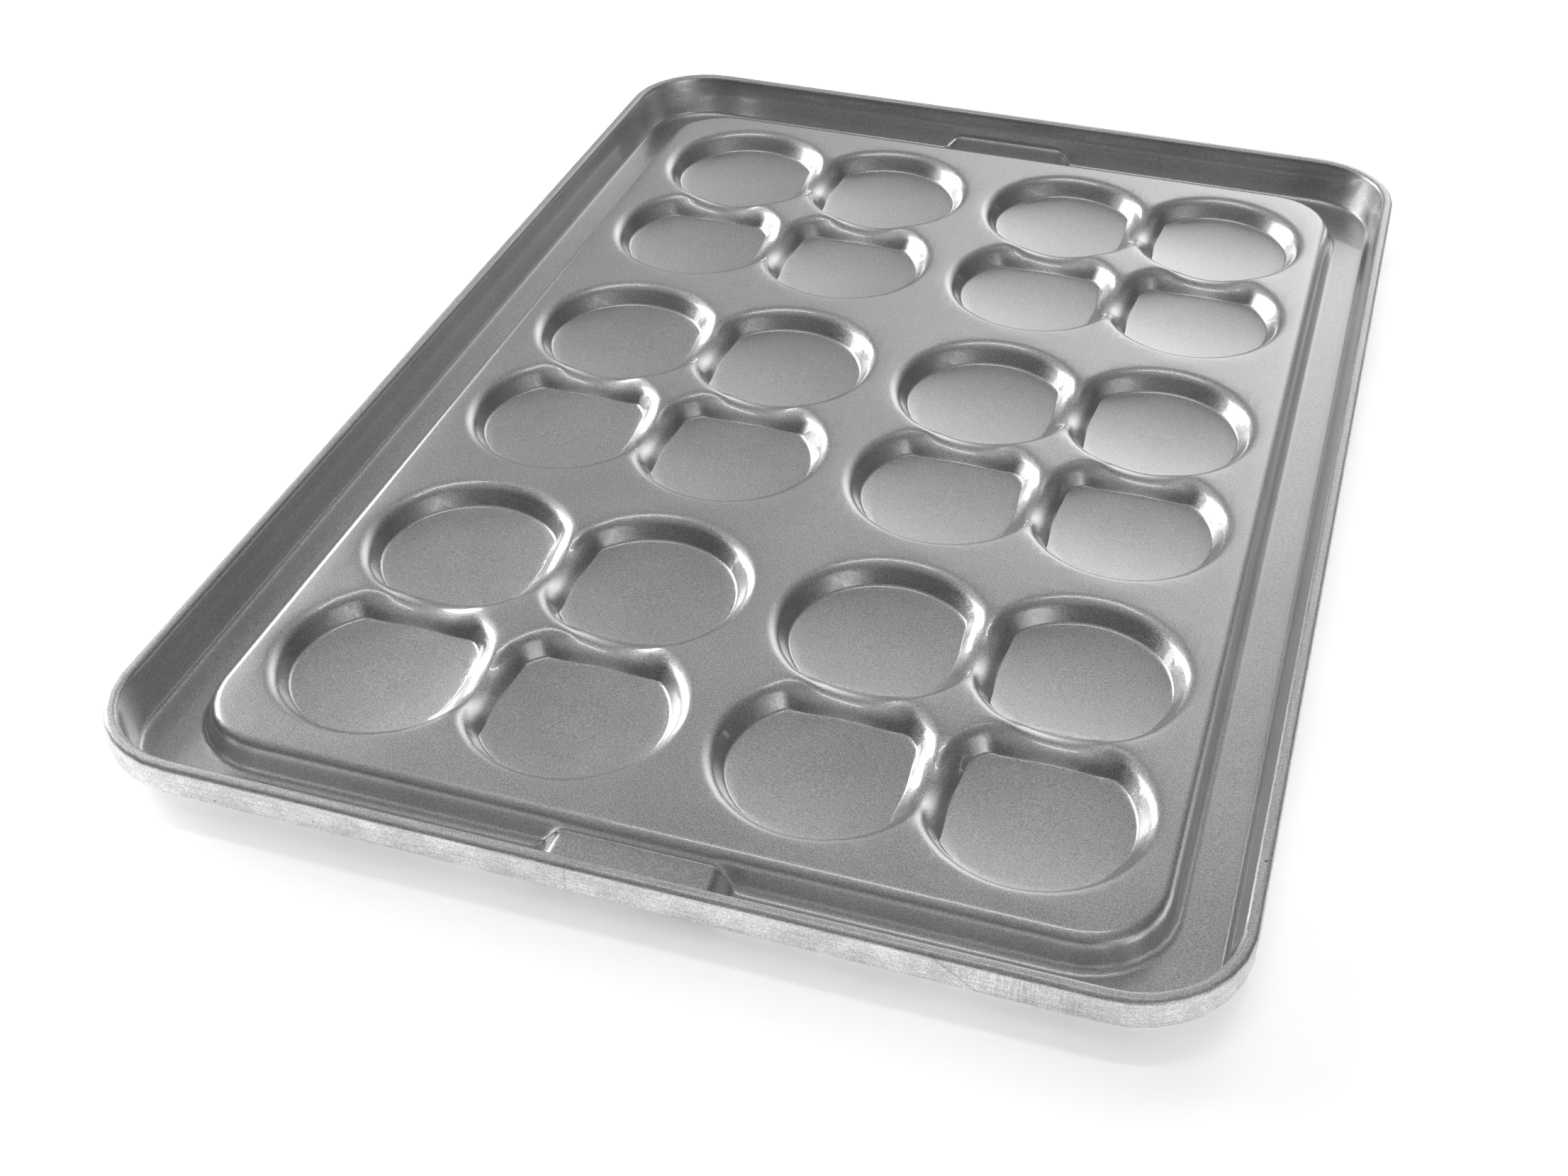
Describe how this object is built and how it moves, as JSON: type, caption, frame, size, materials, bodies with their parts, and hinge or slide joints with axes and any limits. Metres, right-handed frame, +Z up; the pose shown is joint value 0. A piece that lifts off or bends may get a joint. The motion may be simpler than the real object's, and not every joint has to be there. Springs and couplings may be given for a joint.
{
  "type": "hamburger bun pan",
  "caption": "Rectangular pressed-metal baking pan with shallow round cups in clusters on a raised deck, a channel around it and a rim rolled over a flat bar.",
  "frame": {"origin": "middle of the footprint, on the surface the pan stands on", "axes": "+Z up, out of the cups; +Y along the longer side, away from the viewer of the picture; +X along the shorter side"},
  "size_m": [0.4572, 0.6604, 0.0245],
  "materials": {
    "glazed_sheet": "satin aluminised steel with a clear baking glaze",
    "rim_bar_steel": "plain mill-finish flat bar"
  },
  "bodies": {
    "root": {"pan_sheet": "glazed_sheet", "rim_bar": "rim_bar_steel"}
  },
  "joints": []
}
